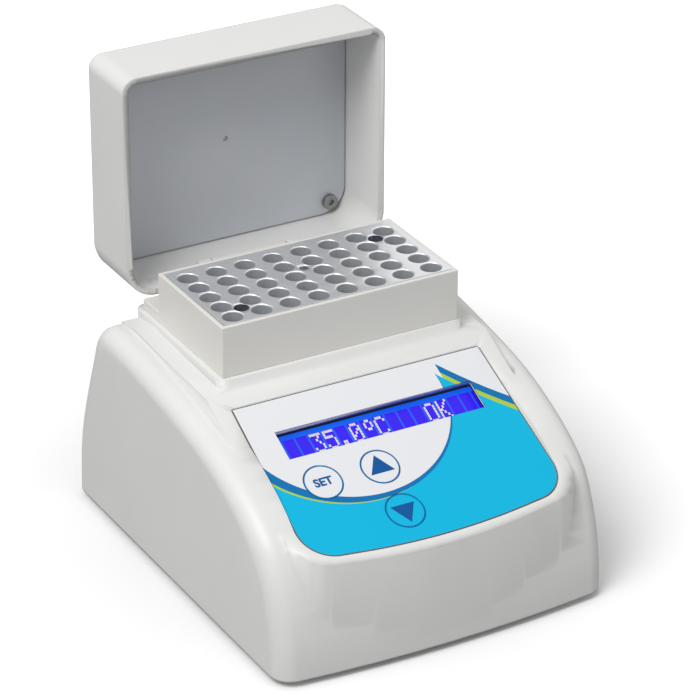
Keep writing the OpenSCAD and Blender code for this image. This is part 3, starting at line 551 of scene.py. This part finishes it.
# --- Rear socket and power switch ---
# A round direct current socket is held by a nut from inside. The rocker switch snaps into its pad,
# and its red rocker is marked with a bar above a ring.
mark_x, bar_z, hoop_z, back_y = -20, 22, 16, 60
bar_half_w, bar_half_l, hoop_r, hoop_half_w = 0.28, 1.3, 1.1, 0.26
socket_black = moulded("socket_black", (0.02, 0.02, 0.022), 0.35)
dressed("dc_socket", socket_black, 0.00015)
switch_black = moulded("switch_black", (0.018, 0.018, 0.02), 0.4)
dressed("switch_body", switch_black, 0.0002)
red = Paint("rocker_red")
x, y, z = red.axes()
across = x - mark_x
bar = across.abs().below(bar_half_w) * (z - bar_z).abs().below(bar_half_l)
hoop = (across.squared() + (z - hoop_z).squared()).root() - hoop_r
mark = (bar + hoop.abs().below(hoop_half_w)).math("MINIMUM", 1) * y.above(back_y)
cloud = red.noise(120)
ground = red.mix(cloud, srgb(170, 22, 16), srgb(196, 30, 22))
red.set(Base_Color=red.mix(mark, ground, (0.85, 0.85, 0.83)), IOR=1.5,
        Roughness=cloud.span(0.24, 0.34), Normal=red.bump(red.noise(2400), 0.03, 0.00004))
dressed("power_rocker", red.material, 0.00025)

# --- Leads ---
# Sleeved leads run inside the housing from the heater, the sensor, the display board and the
# switch to their plugs on the main board.
finish(rubbery("red_sleeve", (0.4, 0.02, 0.015), 0.5), "heater_leads")
finish(rubbery("white_sleeve", (0.6, 0.6, 0.57), 0.5), "sensor_leads")
finish(rubbery("grey_sleeve", (0.4, 0.4, 0.42), 0.5), "display_leads")
finish(rubbery("black_sleeve", (0.02, 0.02, 0.02), 0.5), "power_leads")

# --- Bench and light ---
# A pale bench in a white room, which turns plain white away from the object. One large soft lamp
# hangs high on the left, and a weak one stands in front on the right.
aim, lamp_size = Vector((0, 0, 0.06)), 0.9
bench_size, grey_until, white_from = 6, 60, 260


def lamp(name, spot, watts):
    light = bpy.data.lights.new(name, "AREA")
    light.shape, light.size, light.energy = "DISK", lamp_size, watts
    holder = bpy.data.objects.new(name, light)
    holder.location = spot
    holder.rotation_euler = (aim - Vector(spot)).to_track_quat("-Z", "Y").to_euler()
    scene.collection.objects.link(holder)


lamp("high_lamp", (-0.9, -0.38, 1.3), 17)
lamp("front_lamp", (0.9, -1.4, 0.8), 2.6)

bench = Paint("bench_white")
to_camera = bench.add("LightPath", out="Is Camera Ray")
x, y, _ = bench.axes()
far = bench.add("MapRange", None, {"Value": (x.squared() + y.squared()).root(),
                                   "From Min": grey_until, "From Max": white_from})
pale = bench.mix(bench.noise(4), (0.9, 0.9, 0.9), (0.93, 0.93, 0.93))
bench.set(Base_Color=bench.mix(to_camera, (0.3, 0.3, 0.3), pale), Roughness=0.9,
          Specular_IOR_Level=0.1, Emission_Strength=1.0,
          Emission_Color=bench.mix(to_camera * far, (0, 0, 0), (0.6, 0.6, 0.6)))
top = bmesh.new()
bmesh.ops.create_grid(top, x_segments=1, y_segments=1, size=bench_size)
mesh = bpy.data.meshes.new("bench_top")
top.to_mesh(mesh)
top.free()
mesh.materials.append(bench.material)
floor = bpy.data.objects.new("bench_top", mesh)
scene.collection.objects.link(floor)

room = bpy.data.worlds.new("white_room")
room.use_nodes = True
scene.world = room
sky = room.node_tree
path = sky.nodes.new("ShaderNodeLightPath")
seen = path.outputs["Is Camera Ray"]
for ray in ("Is Glossy Ray", "Is Transmission Ray"):
    either = sky.nodes.new("ShaderNodeMath")
    either.operation = "MAXIMUM"
    sky.links.new(seen, either.inputs[0])
    sky.links.new(path.outputs[ray], either.inputs[1])
    seen = either.outputs[0]
level = sky.nodes.new("ShaderNodeMapRange")
level.inputs["To Min"].default_value, level.inputs["To Max"].default_value = 0.5, 1.0
sky.links.new(seen, level.inputs["Value"])
sky.nodes["Background"].inputs["Color"].default_value = (1, 1, 1, 1)
sky.links.new(level.outputs[0], sky.nodes["Background"].inputs["Strength"])
